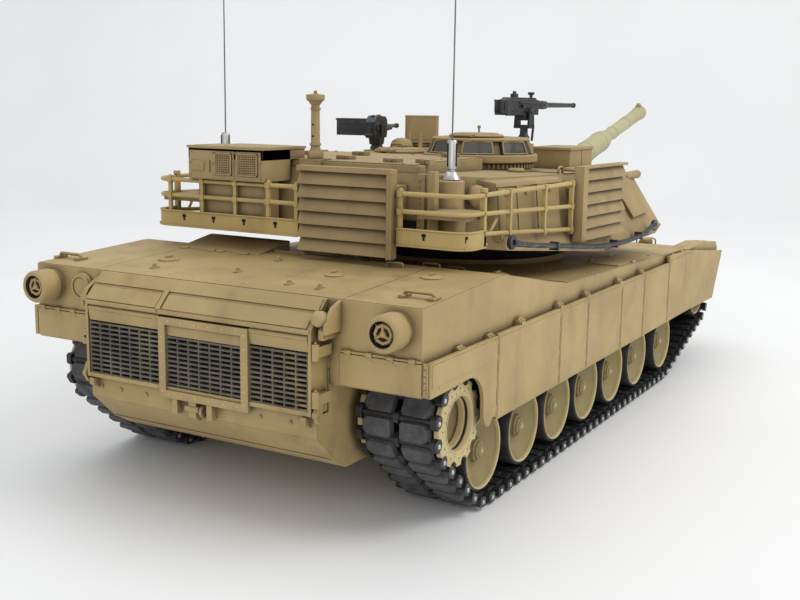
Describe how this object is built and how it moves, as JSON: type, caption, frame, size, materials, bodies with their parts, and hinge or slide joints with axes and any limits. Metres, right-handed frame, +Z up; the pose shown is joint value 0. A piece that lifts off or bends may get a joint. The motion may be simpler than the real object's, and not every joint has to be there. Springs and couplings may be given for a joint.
{
  "type": "radio-controlled tank model",
  "caption": "Radio-controlled scale model of a main battle tank: tracked hull with sprung road wheels, side skirts, turning turret, elevating gun, hatches and roof guns.",
  "frame": {"origin": "middle of the whole model's footprint, on the ground under the tracks", "axes": "+X forward along the hull, +Y to the vehicle's left, +Z up"},
  "size_m": [0.627, 0.2286, 0.33],
  "materials": {
    "hull_paint": "matte sand paint, weathered with brown dust and soot",
    "turret_paint": "matte sand paint with thin grit texture",
    "wheel_paint": "satin olive-sand plastic with lighter worn rims",
    "arm_paint": "matte sand plastic",
    "rail_paint": "satin yellow-sand plastic",
    "barrel_paint": "matte pale olive-sand plastic",
    "grille": "soot-darkened sand plastic bars",
    "track_rubber": "black links with grey worn rubber pads",
    "gun_metal_black": "satin black with dark grey highlights",
    "antenna_steel": "bright steel",
    "motor_steel": "grey steel cans on plastic gear cases",
    "battery": "blue shrink wrap",
    "circuit_board": "green lacquered board",
    "lamp_glass": "red lamp lens",
    "sight_glass": "dark tinted vision glass"
  },
  "bodies": {
    "hull": {"lower_hull": "hull_paint", "upper_hull": "hull_paint", "right_skirt": "hull_paint", "left_skirt": "hull_paint", "rear_grille": "grille", "right_track": "track_rubber", "left_track": "track_rubber", "right_gearbox": "motor_steel", "left_gearbox": "motor_steel", "battery_pack": "battery", "control_board": "circuit_board"},
    "right_sprocket": {"right_sprocket": "wheel_paint"},
    "right_idler": {"right_idler": "wheel_paint"},
    "right_swing_arm_1": {"right_swing_arm_1": "arm_paint"},
    "right_road_wheel_1": {"right_road_wheel_1": "wheel_paint"},
    "right_swing_arm_2": {"right_swing_arm_2": "arm_paint"},
    "right_road_wheel_2": {"right_road_wheel_2": "wheel_paint"},
    "right_swing_arm_3": {"right_swing_arm_3": "arm_paint"},
    "right_road_wheel_3": {"right_road_wheel_3": "wheel_paint"},
    "right_swing_arm_4": {"right_swing_arm_4": "arm_paint"},
    "right_road_wheel_4": {"right_road_wheel_4": "wheel_paint"},
    "right_swing_arm_5": {"right_swing_arm_5": "arm_paint"},
    "right_road_wheel_5": {"right_road_wheel_5": "wheel_paint"},
    "right_swing_arm_6": {"right_swing_arm_6": "arm_paint"},
    "right_road_wheel_6": {"right_road_wheel_6": "wheel_paint"},
    "right_swing_arm_7": {"right_swing_arm_7": "arm_paint"},
    "right_road_wheel_7": {"right_road_wheel_7": "wheel_paint"},
    "left_sprocket": {"left_sprocket": "wheel_paint"},
    "left_idler": {"left_idler": "wheel_paint"},
    "left_swing_arm_1": {"left_swing_arm_1": "arm_paint"},
    "left_road_wheel_1": {"left_road_wheel_1": "wheel_paint"},
    "left_swing_arm_2": {"left_swing_arm_2": "arm_paint"},
    "left_road_wheel_2": {"left_road_wheel_2": "wheel_paint"},
    "left_swing_arm_3": {"left_swing_arm_3": "arm_paint"},
    "left_road_wheel_3": {"left_road_wheel_3": "wheel_paint"},
    "left_swing_arm_4": {"left_swing_arm_4": "arm_paint"},
    "left_road_wheel_4": {"left_road_wheel_4": "wheel_paint"},
    "left_swing_arm_5": {"left_swing_arm_5": "arm_paint"},
    "left_road_wheel_5": {"left_road_wheel_5": "wheel_paint"},
    "left_swing_arm_6": {"left_swing_arm_6": "arm_paint"},
    "left_road_wheel_6": {"left_road_wheel_6": "wheel_paint"},
    "left_swing_arm_7": {"left_swing_arm_7": "arm_paint"},
    "left_road_wheel_7": {"left_road_wheel_7": "wheel_paint"},
    "turret": {"turret_shell": "turret_paint", "turret_ring": "arm_paint", "bustle_rack": "rail_paint", "equipment_box": "turret_paint", "commander_cupola": "turret_paint", "right_antenna": "antenna_steel", "left_antenna": "antenna_steel", "wind_sensor": "rail_paint", "tow_cable": "gun_metal_black"},
    "gun": {"gun_mantlet": "turret_paint", "gun_barrel": "barrel_paint"},
    "commander_hatch": {"commander_hatch": "turret_paint"},
    "commander_gun_mount": {"commander_gun_mount": "gun_metal_black"},
    "commander_gun": {"commander_machine_gun": "gun_metal_black"},
    "loader_hatch": {"loader_hatch": "turret_paint"},
    "loader_gun": {"loader_machine_gun": "gun_metal_black"},
    "viewer": {"panoramic_viewer": "turret_paint"}
  },
  "joints": [
    {"name": "right_drive", "type": "hinge", "parent": "hull", "child": "right_sprocket", "pos_m": [-0.26255, -0.0889, 0.0495], "axis": [0, 1, 0], "continuous": true},
    {"name": "right_idler_spin", "type": "hinge", "parent": "hull", "child": "right_idler", "pos_m": [0.14345, -0.0889, 0.05], "axis": [0, 1, 0], "continuous": true},
    {"name": "right_suspension_1", "type": "hinge", "parent": "hull", "child": "right_swing_arm_1", "pos_m": [0.08108, -0.0693, 0.03589], "axis": [0, 1, 0], "range_deg": [0, 18], "stiffness_Nm_per_rad": 0.3, "springref_deg": -17.19},
    {"name": "right_wheel_spin_1", "type": "hinge", "parent": "right_swing_arm_1", "child": "right_road_wheel_1", "pos_m": [0.05665, -0.0889, 0.027], "axis": [0, 1, 0], "continuous": true},
    {"name": "right_suspension_2", "type": "hinge", "parent": "hull", "child": "right_swing_arm_2", "pos_m": [0.02538, -0.0693, 0.03589], "axis": [0, 1, 0], "range_deg": [0, 18], "stiffness_Nm_per_rad": 0.3, "springref_deg": -17.19},
    {"name": "right_wheel_spin_2", "type": "hinge", "parent": "right_swing_arm_2", "child": "right_road_wheel_2", "pos_m": [0.00095, -0.0889, 0.027], "axis": [0, 1, 0], "continuous": true},
    {"name": "right_suspension_3", "type": "hinge", "parent": "hull", "child": "right_swing_arm_3", "pos_m": [-0.02242, -0.0693, 0.03589], "axis": [0, 1, 0], "range_deg": [0, 18], "stiffness_Nm_per_rad": 0.3, "springref_deg": -17.19},
    {"name": "right_wheel_spin_3", "type": "hinge", "parent": "right_swing_arm_3", "child": "right_road_wheel_3", "pos_m": [-0.04685, -0.0889, 0.027], "axis": [0, 1, 0], "continuous": true},
    {"name": "right_suspension_4", "type": "hinge", "parent": "hull", "child": "right_swing_arm_4", "pos_m": [-0.06812, -0.0693, 0.03589], "axis": [0, 1, 0], "range_deg": [0, 18], "stiffness_Nm_per_rad": 0.3, "springref_deg": -17.19},
    {"name": "right_wheel_spin_4", "type": "hinge", "parent": "right_swing_arm_4", "child": "right_road_wheel_4", "pos_m": [-0.09255, -0.0889, 0.027], "axis": [0, 1, 0], "continuous": true},
    {"name": "right_suspension_5", "type": "hinge", "parent": "hull", "child": "right_swing_arm_5", "pos_m": [-0.11292, -0.0693, 0.03589], "axis": [0, 1, 0], "range_deg": [0, 18], "stiffness_Nm_per_rad": 0.3, "springref_deg": -17.19},
    {"name": "right_wheel_spin_5", "type": "hinge", "parent": "right_swing_arm_5", "child": "right_road_wheel_5", "pos_m": [-0.13735, -0.0889, 0.027], "axis": [0, 1, 0], "continuous": true},
    {"name": "right_suspension_6", "type": "hinge", "parent": "hull", "child": "right_swing_arm_6", "pos_m": [-0.15802, -0.0693, 0.03589], "axis": [0, 1, 0], "range_deg": [0, 18], "stiffness_Nm_per_rad": 0.3, "springref_deg": -17.19},
    {"name": "right_wheel_spin_6", "type": "hinge", "parent": "right_swing_arm_6", "child": "right_road_wheel_6", "pos_m": [-0.18245, -0.0889, 0.027], "axis": [0, 1, 0], "continuous": true},
    {"name": "right_suspension_7", "type": "hinge", "parent": "hull", "child": "right_swing_arm_7", "pos_m": [-0.20482, -0.0693, 0.03589], "axis": [0, 1, 0], "range_deg": [0, 18], "stiffness_Nm_per_rad": 0.3, "springref_deg": -17.19},
    {"name": "right_wheel_spin_7", "type": "hinge", "parent": "right_swing_arm_7", "child": "right_road_wheel_7", "pos_m": [-0.22925, -0.0889, 0.027], "axis": [0, 1, 0], "continuous": true},
    {"name": "left_drive", "type": "hinge", "parent": "hull", "child": "left_sprocket", "pos_m": [-0.26255, 0.0889, 0.0495], "axis": [0, 1, 0], "continuous": true},
    {"name": "left_idler_spin", "type": "hinge", "parent": "hull", "child": "left_idler", "pos_m": [0.14345, 0.0889, 0.05], "axis": [0, 1, 0], "continuous": true},
    {"name": "left_suspension_1", "type": "hinge", "parent": "hull", "child": "left_swing_arm_1", "pos_m": [0.08108, 0.0693, 0.03589], "axis": [0, 1, 0], "range_deg": [0, 18], "stiffness_Nm_per_rad": 0.3, "springref_deg": -17.19},
    {"name": "left_wheel_spin_1", "type": "hinge", "parent": "left_swing_arm_1", "child": "left_road_wheel_1", "pos_m": [0.05665, 0.0889, 0.027], "axis": [0, 1, 0], "continuous": true},
    {"name": "left_suspension_2", "type": "hinge", "parent": "hull", "child": "left_swing_arm_2", "pos_m": [0.02538, 0.0693, 0.03589], "axis": [0, 1, 0], "range_deg": [0, 18], "stiffness_Nm_per_rad": 0.3, "springref_deg": -17.19},
    {"name": "left_wheel_spin_2", "type": "hinge", "parent": "left_swing_arm_2", "child": "left_road_wheel_2", "pos_m": [0.00095, 0.0889, 0.027], "axis": [0, 1, 0], "continuous": true},
    {"name": "left_suspension_3", "type": "hinge", "parent": "hull", "child": "left_swing_arm_3", "pos_m": [-0.02242, 0.0693, 0.03589], "axis": [0, 1, 0], "range_deg": [0, 18], "stiffness_Nm_per_rad": 0.3, "springref_deg": -17.19},
    {"name": "left_wheel_spin_3", "type": "hinge", "parent": "left_swing_arm_3", "child": "left_road_wheel_3", "pos_m": [-0.04685, 0.0889, 0.027], "axis": [0, 1, 0], "continuous": true},
    {"name": "left_suspension_4", "type": "hinge", "parent": "hull", "child": "left_swing_arm_4", "pos_m": [-0.06812, 0.0693, 0.03589], "axis": [0, 1, 0], "range_deg": [0, 18], "stiffness_Nm_per_rad": 0.3, "springref_deg": -17.19},
    {"name": "left_wheel_spin_4", "type": "hinge", "parent": "left_swing_arm_4", "child": "left_road_wheel_4", "pos_m": [-0.09255, 0.0889, 0.027], "axis": [0, 1, 0], "continuous": true},
    {"name": "left_suspension_5", "type": "hinge", "parent": "hull", "child": "left_swing_arm_5", "pos_m": [-0.11292, 0.0693, 0.03589], "axis": [0, 1, 0], "range_deg": [0, 18], "stiffness_Nm_per_rad": 0.3, "springref_deg": -17.19},
    {"name": "left_wheel_spin_5", "type": "hinge", "parent": "left_swing_arm_5", "child": "left_road_wheel_5", "pos_m": [-0.13735, 0.0889, 0.027], "axis": [0, 1, 0], "continuous": true},
    {"name": "left_suspension_6", "type": "hinge", "parent": "hull", "child": "left_swing_arm_6", "pos_m": [-0.15802, 0.0693, 0.03589], "axis": [0, 1, 0], "range_deg": [0, 18], "stiffness_Nm_per_rad": 0.3, "springref_deg": -17.19},
    {"name": "left_wheel_spin_6", "type": "hinge", "parent": "left_swing_arm_6", "child": "left_road_wheel_6", "pos_m": [-0.18245, 0.0889, 0.027], "axis": [0, 1, 0], "continuous": true},
    {"name": "left_suspension_7", "type": "hinge", "parent": "hull", "child": "left_swing_arm_7", "pos_m": [-0.20482, 0.0693, 0.03589], "axis": [0, 1, 0], "range_deg": [0, 18], "stiffness_Nm_per_rad": 0.3, "springref_deg": -17.19},
    {"name": "left_wheel_spin_7", "type": "hinge", "parent": "left_swing_arm_7", "child": "left_road_wheel_7", "pos_m": [-0.22925, 0.0889, 0.027], "axis": [0, 1, 0], "continuous": true},
    {"name": "turret_traverse", "type": "hinge", "parent": "hull", "child": "turret", "pos_m": [-0.04455, 0, 0.1], "axis": [0, 0, 1], "range_deg": [-160, 160]},
    {"name": "gun_elevation", "type": "hinge", "parent": "turret", "child": "gun", "pos_m": [0.03745, 0, 0.118], "axis": [0, -1, 0], "range_deg": [-13, 6.5]},
    {"name": "commander_hatch_hinge", "type": "hinge", "parent": "turret", "child": "commander_hatch", "pos_m": [-0.10305, -0.026, 0.1694], "axis": [0, -1, 0], "range_deg": [0, 100]},
    {"name": "commander_gun_traverse", "type": "hinge", "parent": "turret", "child": "commander_gun_mount", "pos_m": [-0.03155, -0.0345, 0.183], "axis": [0, 0, 1], "range_deg": [-50, 40]},
    {"name": "commander_gun_elevation", "type": "hinge", "parent": "commander_gun_mount", "child": "commander_gun", "pos_m": [-0.03155, -0.0345, 0.183], "axis": [-0.1219, -0.9925, 0], "range_deg": [-10, 20]},
    {"name": "loader_hatch_hinge", "type": "hinge", "parent": "turret", "child": "loader_hatch", "pos_m": [-0.09955, 0.028, 0.1584], "axis": [0, -1, 0], "range_deg": [0, 100]},
    {"name": "loader_gun_traverse", "type": "hinge", "parent": "turret", "child": "loader_gun", "pos_m": [-0.05955, 0.0576, 0.1573], "axis": [0, 0, 1], "range_deg": [0, 70]},
    {"name": "viewer_rotation", "type": "hinge", "parent": "turret", "child": "viewer", "pos_m": [-0.02055, 0.0455, 0.1587], "axis": [0, 0, 1], "continuous": true}
  ],
  "couplings": [
    {"joint": "right_idler_spin", "follows": "right_drive", "ratio": 0.851},
    {"joint": "right_wheel_spin_1", "follows": "right_drive", "ratio": 0.977},
    {"joint": "right_wheel_spin_2", "follows": "right_drive", "ratio": 0.977},
    {"joint": "right_wheel_spin_3", "follows": "right_drive", "ratio": 0.977},
    {"joint": "right_wheel_spin_4", "follows": "right_drive", "ratio": 0.977},
    {"joint": "right_wheel_spin_5", "follows": "right_drive", "ratio": 0.977},
    {"joint": "right_wheel_spin_6", "follows": "right_drive", "ratio": 0.977},
    {"joint": "right_wheel_spin_7", "follows": "right_drive", "ratio": 0.977},
    {"joint": "left_idler_spin", "follows": "left_drive", "ratio": 0.851},
    {"joint": "left_wheel_spin_1", "follows": "left_drive", "ratio": 0.977},
    {"joint": "left_wheel_spin_2", "follows": "left_drive", "ratio": 0.977},
    {"joint": "left_wheel_spin_3", "follows": "left_drive", "ratio": 0.977},
    {"joint": "left_wheel_spin_4", "follows": "left_drive", "ratio": 0.977},
    {"joint": "left_wheel_spin_5", "follows": "left_drive", "ratio": 0.977},
    {"joint": "left_wheel_spin_6", "follows": "left_drive", "ratio": 0.977},
    {"joint": "left_wheel_spin_7", "follows": "left_drive", "ratio": 0.977}
  ]
}
